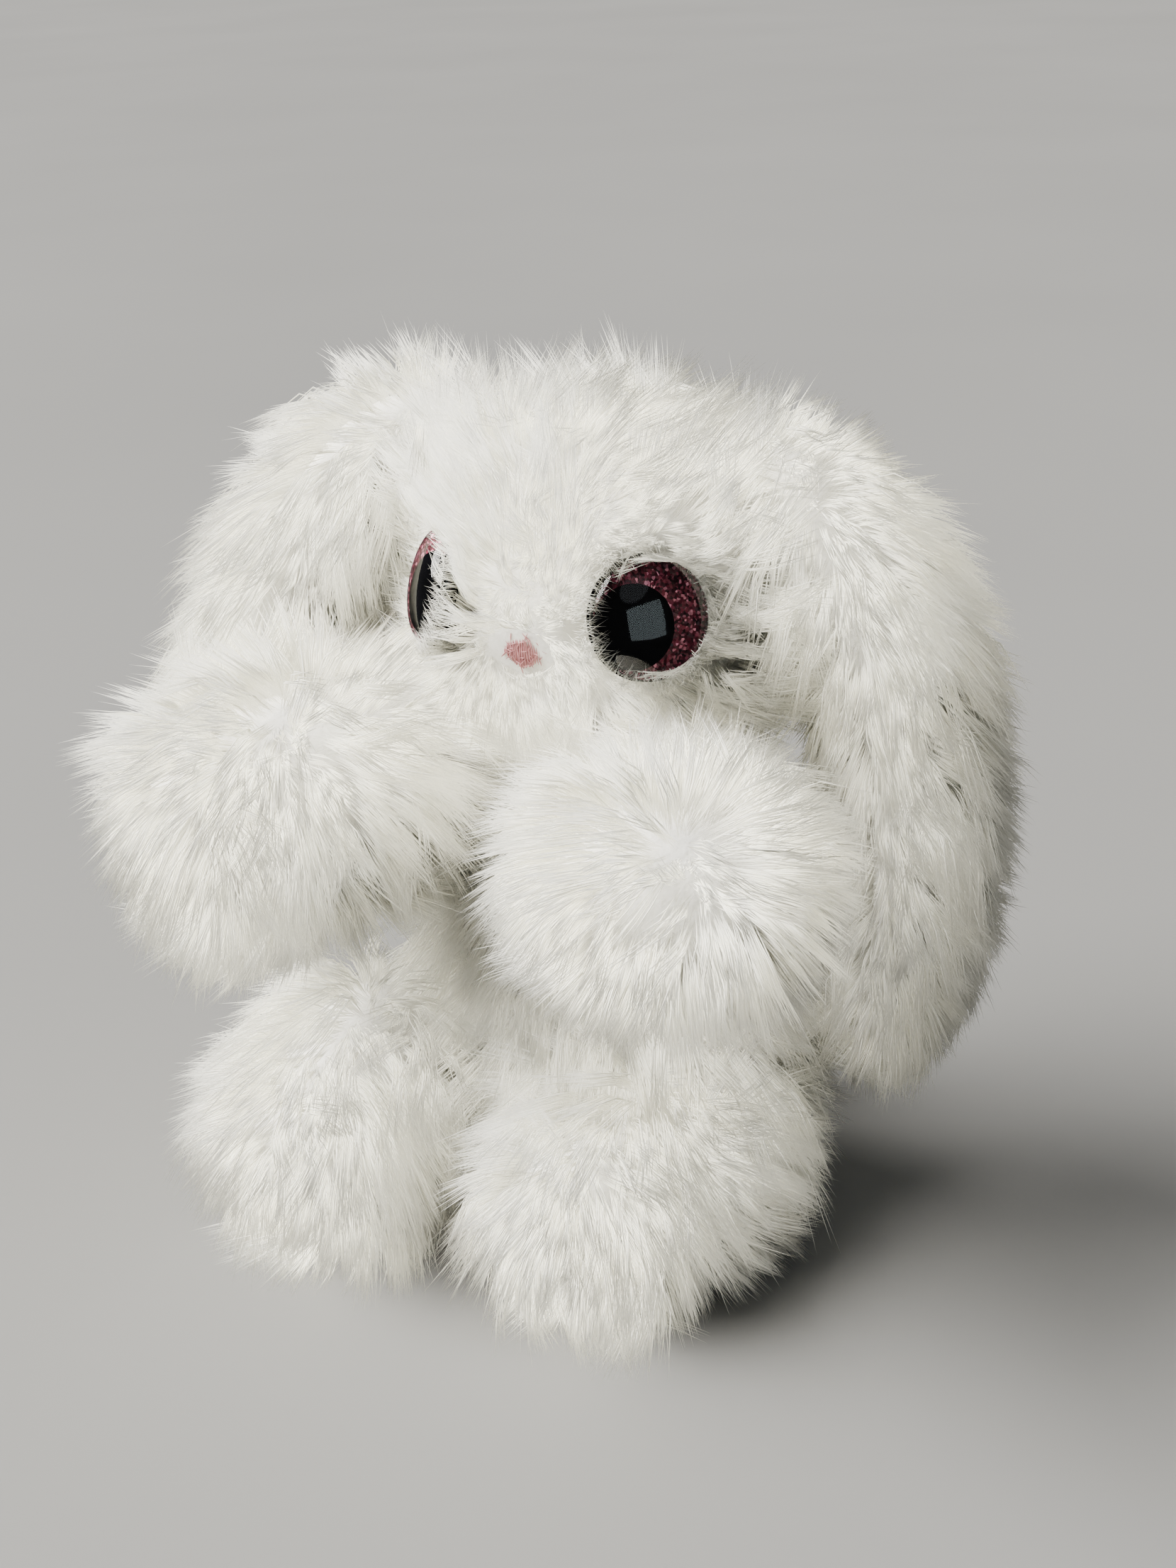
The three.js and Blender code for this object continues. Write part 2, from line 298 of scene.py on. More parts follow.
PARTS = [
    Part("head", head_form, NOSE_CENTRE + (0, 0.004, 0.001), density=5.7, lift=66, settle=36,
         droop=0.05, shortest=0.0045, longest=0.025, thickness=0.22 * MM, wisp=12, crown=0.001,
         pieces=3),
    Part("ear_left", ear_form(EAR_LEFT_PATH), (0.030, 0.008, 0.150), density=4.1, lift=68,
         settle=38, nap=1.0, path=EAR_LEFT_PATH, pieces=2),
    Part("ear_right", ear_form(EAR_RIGHT_PATH), (-0.030, 0.008, 0.150), density=4.1,
         lift=68, settle=38, nap=1.0, path=EAR_RIGHT_PATH, pieces=2),
    Part("arm_left", arm_form(ARM_LEFT_PATH, 0.0295, 0.0235),
         (0.0474, -0.0595, 0.1078), density=4.7, lift=70, settle=42, droop=0.45, hang=0.2),
    Part("arm_right", arm_form(ARM_RIGHT_PATH, 0.028, 0.0275),
         (-0.038, -0.042, 0.113), density=4.7, lift=70, settle=42, droop=0.45, hang=0.3),
    Part("leg_left", leg_form(LEG_LEFT_PATH, 0.0228, 0.025),
         (0.014, 0.004, 0.060), density=4.6, lift=70, settle=40, droop=0.45),
    Part("leg_right", leg_form(LEG_RIGHT_PATH, 0.0235, 0.028),
         (-0.028, -0.004, 0.072), density=4.6, lift=70, settle=40, droop=0.45),
    Part("haunch_left", ball_form(HAUNCH_CENTRE, HAUNCH_RADII), (0.010, -0.030, 0.045),
         density=4.1, lift=66, settle=36, droop=0.3),
    Part("haunch_right", ball_form(mirrored(HAUNCH_CENTRE), HAUNCH_RADII),
         (-0.010, -0.030, 0.045), density=4.1, lift=66, settle=36, droop=0.3),
    Part("body", body_form(), (0, -0.01, 0.125), density=2.6, lift=74, settle=48, droop=0.45,
         wisp=8, thickness=0.29 * MM),
    Part("tail", ball_form(TAIL_CENTRE, np.full(3, TAIL_RADIUS)), (0, 0.030, 0.034), density=5,
         lift=70, settle=45),
]


def form_bmesh(part):
    """A part's form, made from a sphere, and the direction that each vertex came from."""
    bm = bmesh.new()
    bmesh.ops.create_uvsphere(bm, u_segments=48, v_segments=32, radius=1)
    bmesh.ops.triangulate(bm, faces=bm.faces)
    directions = unit(np.array([v.co for v in bm.verts]))
    for vert, place in zip(bm.verts, part.shape(directions)):
        vert.co = place
    if bm.calc_volume(signed=True) < 0:
        bmesh.ops.reverse_faces(bm, faces=bm.faces)
    bm.normal_update()
    return bm, directions


# ---------------------------------------------------------------- materials


def new_material(name):
    material = bpy.data.materials.new(name)
    material.use_nodes = True
    nodes = material.node_tree.nodes
    return material, nodes, material.node_tree.links, nodes["Principled BSDF"]


def noise(nodes, links, scale, detail=3.0):
    where = nodes.new("ShaderNodeTexCoord")
    texture = nodes.new("ShaderNodeTexNoise")
    texture.inputs["Scale"].default_value = scale
    texture.inputs["Detail"].default_value = detail
    links.new(where.outputs["Object"], texture.inputs["Vector"])
    return texture.outputs["Fac"]


def ramp(nodes, links, factor, *stops):
    """A colour ramp with (place, colour) stops, driven by factor."""
    node = nodes.new("ShaderNodeValToRGB")
    elements = node.color_ramp.elements
    while len(elements) < len(stops):
        elements.new(0.5)
    for element, (place, colour) in zip(elements, stops):
        element.position = place
        element.color = (*colour, 1)
    links.new(factor, node.inputs["Fac"])
    return node.outputs["Color"]


def pile_material():
    """Fine white pile: a little warmer and cooler from place to place."""
    material, nodes, links, shader = new_material("white_pile")
    tint = ramp(nodes, links, noise(nodes, links, 45), (0.3, (0.985, 0.970, 0.875)),
                (0.7, (0.985, 0.976, 0.905)))
    links.new(tint, shader.inputs["Base Color"])
    shader.inputs["Roughness"].default_value = 0.7
    shader.inputs["Specular IOR Level"].default_value = 0.0
    glow = nodes.new("ShaderNodeBsdfTranslucent")
    links.new(tint, glow.inputs["Color"])
    mix = nodes.new("ShaderNodeMixShader")
    mix.inputs["Fac"].default_value = 0.2
    links.new(shader.outputs["BSDF"], mix.inputs[1])
    links.new(glow.outputs["BSDF"], mix.inputs[2])
    links.new(mix.outputs["Shader"], nodes["Material Output"].inputs["Surface"])
    return material


def cloth_material():
    """The knitted backing under the pile."""
    material, nodes, links, shader = new_material("knitted_backing")
    weave = noise(nodes, links, 900, 2)
    links.new(ramp(nodes, links, weave, (0.3, (0.95, 0.935, 0.88)), (0.7, (0.98, 0.965, 0.93))),
              shader.inputs["Base Color"])
    shader.inputs["Roughness"].default_value = 0.95
    bump = nodes.new("ShaderNodeBump")
    bump.inputs["Distance"].default_value = 0.0002
    links.new(weave, bump.inputs["Height"])
    links.new(bump.outputs["Normal"], shader.inputs["Normal"])
    return material


def glitter_material():
    """Crimson and pink flakes set at random angles in lacquer."""
    material, nodes, links, shader = new_material("glitter_iris")
    where = nodes.new("ShaderNodeTexCoord")
    flakes = nodes.new("ShaderNodeTexVoronoi")
    flakes.inputs["Scale"].default_value = 2600
    links.new(where.outputs["Object"], flakes.inputs["Vector"])
    parted = nodes.new("ShaderNodeSeparateColor")
    links.new(flakes.outputs["Color"], parted.inputs["Color"])
    links.new(ramp(nodes, links, parted.outputs["Red"], (0.0, (0.012, 0.001, 0.003)),
                   (0.45, (0.06, 0.003, 0.012)), (0.8, (0.15, 0.010, 0.032)),
                   (0.97, (0.55, 0.20, 0.28))),
              shader.inputs["Base Color"])
    shader.inputs["Metallic"].default_value = 0.55
    shader.inputs["Roughness"].default_value = 0.32
    centred = nodes.new("ShaderNodeVectorMath")
    centred.operation = "SUBTRACT"
    centred.inputs[1].default_value = (0.5, 0.5, 0.5)
    links.new(flakes.outputs["Color"], centred.inputs[0])
    tilt = nodes.new("ShaderNodeVectorMath")
    tilt.operation = "SCALE"
    tilt.inputs["Scale"].default_value = 0.9
    links.new(centred.outputs["Vector"], tilt.inputs[0])
    surface = nodes.new("ShaderNodeNewGeometry")
    tilted = nodes.new("ShaderNodeVectorMath")
    links.new(surface.outputs["Normal"], tilted.inputs[0])
    links.new(tilt.outputs["Vector"], tilted.inputs[1])
    level = nodes.new("ShaderNodeVectorMath")
    level.operation = "NORMALIZE"
    links.new(tilted.outputs["Vector"], level.inputs[0])
    links.new(level.outputs["Vector"], shader.inputs["Normal"])
    return material


def pupil_material():
    material, nodes, links, shader = new_material("black_lacquer")
    links.new(ramp(nodes, links, noise(nodes, links, 300), (0.3, (0.0006, 0.0006, 0.0008)),
                   (0.7, (0.0012, 0.0012, 0.0016))), shader.inputs["Base Color"])
    shader.inputs["Roughness"].default_value = 0.4
    shader.inputs["Specular IOR Level"].default_value = 0.0
    return material


def dome_material():
    """Clear polished plastic that lets lamps through to what lies under it."""
    material, nodes, links, shader = new_material("clear_dome")
    shader.inputs["Base Color"].default_value = (0.98, 0.98, 0.98, 1)
    shader.inputs["Roughness"].default_value = 0.06
    shader.inputs["IOR"].default_value = 1.35
    shader.inputs["Transmission Weight"].default_value = 1.0
    path = nodes.new("ShaderNodeLightPath")
    clear = nodes.new("ShaderNodeBsdfTransparent")
    mix = nodes.new("ShaderNodeMixShader")
    links.new(path.outputs["Is Shadow Ray"], mix.inputs["Fac"])
    links.new(shader.outputs["BSDF"], mix.inputs[1])
    links.new(clear.outputs["BSDF"], mix.inputs[2])
    links.new(mix.outputs["Shader"], nodes["Material Output"].inputs["Surface"])
    return material


def thread_material():
    """Dusty pink embroidery thread with a soft shine."""
    material, nodes, links, shader = new_material("pink_thread")
    links.new(ramp(nodes, links, noise(nodes, links, 1500), (0.3, (0.50, 0.20, 0.21)),
                   (0.7, (0.66, 0.31, 0.32))), shader.inputs["Base Color"])
    shader.inputs["Roughness"].default_value = 0.6
    shader.inputs["Sheen Weight"].default_value = 0.3
    return material


def floor_material():
    material, nodes, links, shader = new_material("pale_floor")
    links.new(ramp(nodes, links, noise(nodes, links, 3), (0.3, (0.265, 0.262, 0.255)),
                   (0.7, (0.285, 0.282, 0.275))), shader.inputs["Base Color"])
    shader.inputs["Roughness"].default_value = 0.6
    return material


# ---------------------------------------------------------------- skin

SKIN_VOXEL = 0.0012


def make_skin(forms, material):
    """One sewn and stuffed cloth skin, joined from every part's form."""
    joined = bmesh.new()
    for bm, _ in forms:
        mesh = bpy.data.meshes.new("form")
        bm.to_mesh(mesh)
        joined.from_mesh(mesh)
        bpy.data.meshes.remove(mesh)
    skin = mesh_object("skin", joined, material)
    remesh = skin.modifiers.new("join", "REMESH")
    remesh.mode = "VOXEL"
    remesh.voxel_size = SKIN_VOXEL
    remesh.use_smooth_shade = True
    smoothing = skin.modifiers.new("ease seams", "SMOOTH")
    smoothing.factor = 0.5
    smoothing.iterations = 4
    graph = bpy.context.evaluated_depsgraph_get()
    finished = bpy.data.meshes.new_from_object(skin.evaluated_get(graph))
    skin.modifiers.clear()
    skin.data = finished
    finished.name = "skin"
    return skin


# ---------------------------------------------------------------- pile

WAIST = 0.5  # where along a strand it is thickest
STRAND_CORNERS = 5  # a root point, three corners round its waist and a tip
SEAM_STEP = 0.0008  # a gap between two pieces that a wisp may bridge
BURIED = 0.0011  # how deep in the skin a root is too deep to show
ROOT_DEPTH = 0.0004
PATCH = 0.003  # the side of a strand's patch on the unwrap
WISP_GATHER = (0.08, 0.45)  # how far a wisp's strands draw together at its tip
TUFT_GATHER = 0.28  # how far a tuft's wisps do
LIE_SCATTER = (0.16, 0.24)  # how far wisps stray from the lie at their roots and tips
CURL = 0.4  # how much neighbouring wisps' tips turn aside together
WAVE = 0.0012  # how far a wisp waves sideways
WAVE_TURN = 4.5
BRUSHED_OUT = (1.04, 1.40)  # how far wisps pass the outline once they bend
SWIRLS = ((0.022, 5, 1.0), (0.009, 6, 0.7))  # size, seed and strength of strays in the lie
REACH = (0.55, 1.05)  # the square of a strand's share of its wisp's length
OWN_GATHER = (0.75, 1.1)  # its share of its wisp's gathering
OWN_STRAY = 0.05
THICKNESS_SPREAD = (0.7, 1.25)
WILD = 0.05  # the share of strands that keep out of their wisps
WILD_REACH = (0.85, 1.08)
WILD_GATHER = 0.08
LOOSE = 0.0006  # the share that were pulled out longer
LOOSE_REACH = 1.4
UNDERCOAT = 0.03  # the share that stay short and thick, low in the pile
UNDERCOAT_REACH = (0.35, 0.80)
UNDERCOAT_THICKNESS = 1.4
UPRIGHT = math.radians(82)
FACE_CROWDING = 1.5  # how close the face's strands stand against the head's density
BACK_CROWDING = 0.7  # and those of the back of the head
CROWDING_FALLS = (45, 100)  # degrees from the face's middle that the one becomes the other over
SHORTER_CROWDED = 1.3  # the powers of the crowding that a strand is shorter and finer by
FINER_CROWDED = 0.6
FLOOR_CLEARANCE = 0.0006


def outline_tree():
    """All the CAD pieces' faces: what the tips of the pile reach."""
    places, faces = [], []
    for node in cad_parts.values():
        start = len(places)
        places += [v.co.copy() for v in node.data.vertices]
        faces += [[start + k for k in p.vertices] for p in node.data.polygons]
    return BVHTree.FromPolygons(places, faces)


def reach(outline, root, way, longest):
    """How far a wisp can go from its root before it leaves the outline of the whole toy."""
    start, way = Vector(root), Vector(way)
    gone = 0.0
    while gone < longest:
        place, normal, _, step = outline.ray_cast(start + way * gone, way, longest - gone)
        if place is None:
            return longest
        gone += step + 1e-5
        if normal.dot(way) > 0:
            over = outline.ray_cast(start + way * gone, way, SEAM_STEP)
            if over[0] is None:
                return gone
    return longest


def crowding(part, direction):
    """How close the strands stand for the part's density: closer, and finer, on the face."""
    if part.name != "head":
        return np.ones(len(direction))
    from_face = smoothstep(angle_from(direction, FACE_DIRECTION), *CROWDING_FALLS)
    return FACE_CROWDING - (FACE_CROWDING - BACK_CROWDING) * from_face


def plant(part, bm, directions, skin_tree):
    """Roots of a part's pile: places, normals and directions, none of them buried in the skin."""
    bm.verts.index_update()
    corners = np.array(sorted(sorted(v.index for v in f.verts) for f in bm.faces))
    places = np.array([v.co for v in bm.verts])
    normals = np.array([v.normal for v in bm.verts])
    first, second, third = places[corners].transpose(1, 0, 2)
    areas = np.linalg.norm(np.cross(second - first, third - first), axis=1) / 2
    wanted = areas / MM**2 * part.density * crowding(part, directions)[corners].mean(axis=1)
    count = int(wanted.sum())
    chosen = corners[RNG.choice(len(corners), count, p=wanted / wanted.sum())]
    low, high = np.sort(RNG.random((count, 2)), axis=1).T
    weights = np.stack([low, high - low, 1 - high], axis=1)[:, :, None]
    direction = unit((directions[chosen] * weights).sum(axis=1))
    normal = unit((normals[chosen] * weights).sum(axis=1))
    place = part.shape(direction)
    found = [skin_tree.find_nearest(p)[:2] for p in place]
    surface = np.array([spot for spot, _ in found])
    outwards = np.array([way for _, way in found])
    shown = dot(surface - place, outwards)[:, 0] < BURIED
    return surface[shown], normal[shown], direction[shown]


def nearest(points, centres):
    tree = KDTree(len(centres))
    for k, centre in enumerate(centres):
        tree.insert(centre, k)
    tree.balance()
    return np.array([tree.find(p)[1] for p in points])


def lie_of(part, place, normal, direction):
    """The way that the pile is brushed at each root, along the cloth."""
    way = unit(place - part.whorl)
    if part.path is not None:
        _, t = turn_and_t(direction)
        points, tangents = smooth_path(part.path)
        outwards = unit(place - sample(points, t))
        way = sample(tangents, t) * part.nap + outwards * 0.7 + way * 0.3
    way = way + DOWN * part.droop
    for size, seed, strength in SWIRLS:
        way = way + ripple_vector(place, size, seed) * strength * part.stray
    return unit(way - dot(way, normal) * normal)


def spine(root, first, last, length, share):
    """Places along a strand that sets out one way and ends another."""
    share = np.minimum(share, 1.2)
    return root + length * (first * (share - share**2 / 2) + last * share**2 / 2)


RAGGED = 0.09  # how far the edge of a clearing wavers, as a share of its size
PARTED = (-0.002, 0.022)  # from how deep to how high the pile parts round one
IN_SIGHT = (0.92, 0.03)  # strands are cut within this share of its size, up to this height
SPARED = 0.4  # the share of the strands across it that part instead of being cut


class Clearing:
    """An oval that the pile parts round, wider the further out, with a ragged fringe."""

    def __init__(self, centre, axis, half_width, half_height, widening):
        self.centre = centre
        self.axis = axis
        self.across = unit(np.cross(axis, -DOWN))
        self.up = np.cross(self.across, axis)
        self.half_width = half_width
        self.half_height = half_height
        self.widening = widening

    def measure(self, places):
        """How far places lie along its axis, and to its side and upwards in half sizes."""
        offset = places - self.centre
        return (offset @ self.axis, offset @ self.across / self.half_width,
                offset @ self.up / self.half_height)

    def part(self, places):
        """Places with those inside it moved out to its edge."""
        height, sideways, upwards = self.measure(places)
        distance = np.hypot(sideways, upwards)
        ragged = ripple((places - self.centre).reshape(-1, 3), 0.003, 8).reshape(distance.shape)
        keep = 1 + RAGGED * ragged + self.widening * height
        near = (height > PARTED[0]) & (height < PARTED[1]) & (distance < keep)
        stretch = np.where(near, keep / np.maximum(distance, 1e-6), 1)
        return (self.centre + height[..., None] * self.axis
                + (sideways * stretch * self.half_width)[..., None] * self.across
                + (upwards * stretch * self.half_height)[..., None] * self.up)

    def crossed_by(self, places):
        """Which strands still pass in front of it."""
        crossing = np.zeros(len(places), bool)
        share, top = IN_SIGHT
        for step in np.linspace(0, 1, 9):
            for half in (0, 1):
                spot = places[:, half] * (1 - step) + places[:, half + 1] * step
                height, sideways, upwards = self.measure(spot)
                crossing |= (height > 0) & (height < top) & (np.hypot(sideways, upwards) < share)
        return crossing


NOSE_AXIS = unit(np.array((0.0, -1.0, 0.35)))
NOSE_OPENING = (NOSE_HALF_WIDTH * 1.45, NOSE_HALF_HEIGHT * 1.2)
NOSE_OPENING_SPREAD = 60.0  # how much wider the opening is a metre out, in its own size
EYE_OPENING = EYE_RADIUS * 0.88


def face_clearings():
    """Round the nose, and round each eye, a little further out than its middle."""
    clearings = [Clearing(NOSE_CENTRE, NOSE_AXIS, *NOSE_OPENING, NOSE_OPENING_SPREAD)]
    for side in (1, -1):
        axis = eye_direction(side)
        outwards = unit(eye_centre(side) - NOSE_CENTRE)
        outwards = unit(outwards - axis * (outwards @ axis))
        clearings.append(Clearing(eye_centre(side) + outwards * EYE_FRINGE, axis,
                                  EYE_OPENING, EYE_OPENING, 0.0))
    return clearings


THREE_QUARTER = np.array((0.449, -0.778, 0.438))
EYE_DIP = (0.0024, 0.0090)
EYE_DIP_HEIGHT = 0.0030
NOSE_DIP = (0.0048, 0.0019)


def side_clearings():
    """Dips in the pile that let the nose and the far eye show from either three-quarter side."""
    clearings = []
    for side in (1, -1):
        towards = unit(THREE_QUARTER * (-side, 1, 1))
        dome = eye_centre(side) + eye_direction(side) * EYE_DIP_HEIGHT
        clearings.append(Clearing(dome, towards, *EYE_DIP, 0.0))
        clearings.append(Clearing(NOSE_CENTRE, towards, *NOSE_DIP, 0.0))
    return clearings


def clear_face(part, places):
    """Parts the pile round the eyes and nose, and says which strands aren't cut away."""
    kept = np.ones(len(places), bool)
    if part.name == "head":
        for clearing in face_clearings():
            crossing = clearing.crossed_by(places)
            kept &= ~crossing | (RNG.random(len(places)) < SPARED)
            places = clearing.part(places)
    for clearing in face_clearings() + side_clearings():
        kept &= ~clearing.crossed_by(places)
    return places, kept


def above_floor(places):
    """Strands that would go under the floor lie along it instead."""
    places[..., 2] = np.maximum(places[..., 2], FLOOR_CLEARANCE)
    return places


class Wisps:
    """A part's wisps: where each starts, which way it sets out and ends, how long it is, how it
    gathers and waves, and the wisp that leads its tuft."""

    def __init__(self, part, place, normal, direction, outline):
        count = len(place)
        self.chosen = RNG.choice(count, count // part.wisp, replace=False)
        self.root = root = place[self.chosen]
        out, direction = normal[self.chosen], direction[self.chosen]
        self.tuft = nearest(root, root[:len(root) // part.tuft])
        scatter = RNG.normal(size=root.shape)
        scatter = scatter * 0.6 + scatter[self.tuft] * 0.8
        lie = lie_of(part, root, out, direction)
        from_whorl = np.linalg.norm(root - part.whorl, axis=1, keepdims=True)
        crown = np.exp(-(from_whorl / part.crown) ** 2)
        lift = part.lift + (UPRIGHT - part.lift) * crown
        settle = part.settle + (UPRIGHT - part.settle) * crown
        self.first = unit(out * np.sin(lift) + lie * np.cos(lift)
                          + DOWN * part.droop * 0.5 + scatter * LIE_SCATTER[0])
        self.last = unit(out * np.sin(settle) + lie * np.cos(settle)
                         + DOWN * part.droop + scatter * LIE_SCATTER[1]
                         + ripple_vector(root, 0.010, 31) * CURL)
        mean = unit(self.first + self.last)
        straightness = np.linalg.norm(self.first + self.last, axis=1) / 2
        longest = part.longest / np.maximum(crowding(part, direction), 1) ** SHORTER_CROWDED
        length = np.array([reach(outline, *line) for line in zip(root, mean, longest)])
        length = length / straightness * RNG.uniform(*BRUSHED_OUT, len(root))
        length = length * (1 + part.hang * np.maximum(-out[:, 2], 0))
        self.length = np.clip(length, part.shortest, longest)[:, None]
        self.gather = RNG.uniform(*WISP_GATHER, (len(root), 1))
        self.wave = unit(np.cross(mean, out)) * (RNG.uniform(-1, 1, (len(root), 1)) * WAVE)
        self.phase = RNG.uniform(0, 2 * math.pi, (len(root), 1))

    def middles(self, number, length, share):
        """Places along the middles of the numbered wisps, were they as long as that."""
        return spine(self.root[number], self.first[number], self.last[number], length, share)


def strands_of(part, place, normal, direction, outline):
    """The places along every strand of a part, how thick each is, its wisp, and if it is short."""
    count = len(place)
    wisps = Wisps(part, place, normal, direction, outline)
    wisp = nearest(place, wisps.root)
    lead = wisps.tuft[wisp]
    wild = RNG.random((count, 1)) < WILD
    short = RNG.random((count, 1)) < UNDERCOAT
    gather = wisps.gather[wisp] * RNG.uniform(*OWN_GATHER, (count, 1))
    gather = np.where(wild | short, WILD_GATHER, gather)
    reached = RNG.uniform(*REACH, (count, 1)) ** 0.5
    reached = np.where(wild, RNG.uniform(*WILD_REACH, (count, 1)), reached)
    reached = np.where(short, RNG.uniform(*UNDERCOAT_REACH, (count, 1)), reached)
    length = wisps.length[wisp] * np.where(RNG.random((count, 1)) < LOOSE, LOOSE_REACH, 1)
    stray = RNG.normal(size=(count, 3)) * OWN_STRAY
    rows = []
    for step in (0, WAIST, 1):
        share = reached * step
        own = spine(place - normal * ROOT_DEPTH, wisps.first[wisp] + stray,
                    wisps.last[wisp] + stray, length, share)
        middle = wisps.middles(wisp, length, share)
        leading = wisps.middles(lead, wisps.length[lead], share)
        middle = middle + (leading - middle) * TUFT_GATHER * share**2
        own = own + (middle - own) * gather * share**2
        rows.append(own + wisps.wave[wisp] * np.sin(WAVE_TURN * share + wisps.phase[wisp]) * share)
    places, kept = clear_face(part, np.stack(rows, axis=1))
    places = above_floor(places)
    thickness = part.thickness * RNG.uniform(*THICKNESS_SPREAD, count)
    thickness = thickness / crowding(part, direction) ** FINER_CROWDED
    thickness = thickness * np.where(short[:, 0], UNDERCOAT_THICKNESS, 1.0)
    return places[kept], thickness[kept], wisps.chosen[wisp][kept], short[kept, 0]


def strand_template():
    """The six faces of one strand, as corner numbers, with each corner's place on its patch."""
    faces = []
    for k in range(3):
        after = (k + 1) % 3
        left, right, middle = k / 3, (k + 1) / 3, (k + 0.5) / 3
        faces.append(((0, 1 + after, 1 + k), ((middle, 0), (right, WAIST), (left, WAIST))))
        faces.append(((1 + k, 1 + after, 4), ((left, WAIST), (right, WAIST), (middle, 1))))
    return faces


def coat_mesh(name, places, thickness, patch, material):
    """Strands as one mesh: each a thin three-sided spike, pointed at both ends."""
    count = len(places)
    heading = unit(np.gradient(places, axis=1))
    across = unit(np.cross(heading, RNG.normal(size=(count, 1, 3))))
    upright = np.cross(heading, across)
    radius = thickness[:, None] / 2
    corners = np.zeros((count, STRAND_CORNERS, 3))
    corners[:, 0] = places[:, 0]
    corners[:, -1] = places[:, 2]
    for k in range(3):
        angle = 2 * math.pi * k / 3
        corners[:, 1 + k] = (places[:, 1] + across[:, 1] * math.cos(angle) * radius
                             + upright[:, 1] * math.sin(angle) * radius)

    template = strand_template()
    numbers = np.array([n for face, _ in template for n in face])
    on_patch = np.array([place for _, spots in template for place in spots])
    mesh = bpy.data.meshes.new(name)
    mesh.vertices.add(count * STRAND_CORNERS)
    mesh.vertices.foreach_set("co", corners.astype(np.float32).ravel())
    loops = (numbers[None, :] + np.arange(count)[:, None] * STRAND_CORNERS).ravel()
    mesh.loops.add(len(loops))
    mesh.loops.foreach_set("vertex_index", loops.astype(np.int32))
    starts = np.arange(0, len(loops), 3)
    mesh.polygons.add(len(starts))
    mesh.polygons.foreach_set("loop_start", starts.astype(np.int32))
    layer = mesh.uv_layers.new(name="OFBake")
    spots = patch[:, None, :] + PATCH * (on_patch[None] - 0.5)
    layer.data.foreach_set("uv", spots.astype(np.float32).ravel())
    mesh.update(calc_edges=True)
    mesh.validate()
    mesh.shade_smooth()
    mesh.materials.append(material)
    return new_object(name, mesh)


def unwrap(direction):
    """Where a root lies on its form's own unwrap: the turn round it, and the way along it."""
    turn, t = turn_and_t(direction)
    return np.stack([0.01 + 0.98 * (turn / (2 * math.pi) + 0.5), 0.01 + 0.98 * t], axis=1)


def grow_coat(part, form, skin_tree, outline, material):
    """A part's pile: a thin short undercoat, and long fine pile that lets the light down to the
    skin. The eyes' polish doesn't show it."""
    bm, directions = form
    place, normal, direction = plant(part, bm, directions, skin_tree)
    places, thickness, root, short = strands_of(part, place, normal, direction, outline)
    patch = unwrap(direction[root])
    order = np.argsort(patch[:, 0], kind="stable")
    layers = [("undercoat", order[short[order]])]
    for number, chosen in enumerate(np.array_split(order[~short[order]], part.pieces), 1):
        layers.append((f"pile_{number}" if part.pieces > 1 else "pile", chosen))
    for layer, chosen in layers:
        coat = coat_mesh(f"{part.name}_{layer}", places[chosen], thickness[chosen], patch[chosen],
                         material)
        coat.visible_shadow = layer == "undercoat"
        coat.visible_glossy = False
        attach(coat, "root")


# ---------------------------------------------------------------- eyes

EYE_STEPS = 48


def lathe(profile):
    """A closed turned form on Z from (radius, height) points that start and end on the axis."""
    bm = bmesh.new()
    verts = [bm.verts.new((radius, 0, height)) for radius, height in profile]
    edges = [bm.edges.new(pair) for pair in zip(verts, verts[1:])]
    bmesh.ops.spin(bm, geom=verts + edges, axis=(0, 0, 1), cent=(0, 0, 0), angle=2 * math.pi,
                   steps=EYE_STEPS, use_merge=True)
    bmesh.ops.remove_doubles(bm, verts=bm.verts, dist=1e-6)
    return bm


def oval_arc(rim, rise, base, steps):
    """From the axis at the top of an oval down to its rim."""
    turns = [math.pi / 2 * k / steps for k in range(steps + 1)]
    return [(rim * math.sin(turn), base + rise * math.cos(turn)) for turn in turns]


def turn_to_face(side):
    return Vector((0, 0, 1)).rotation_difference(Vector(eye_direction(side))).to_matrix().to_4x4()


def place_on_face(bm, side):
    place = Matrix.Translation(eye_centre(side)) @ turn_to_face(side)
    bmesh.ops.transform(bm, matrix=place, verts=bm.verts)


def pupil_disc(side):
    """A black disc painted on the iris, off the eye's middle towards the nose."""
    bm = lathe([(PUPIL_RADIUS, 0.0), (PUPIL_RADIUS - 0.0001, 0.0001), (0, 0.0001), (0, -0.0002),
                (PUPIL_RADIUS, -0.0002)])
    inwards = Vector(NOSE_CENTRE - eye_centre(side) + DOWN * 0.002)
    inwards = turn_to_face(side).inverted() @ inwards
    inwards.z = 0
    bmesh.ops.translate(bm, vec=inwards.normalized() * PUPIL_SHIFT, verts=bm.verts)
    return bm


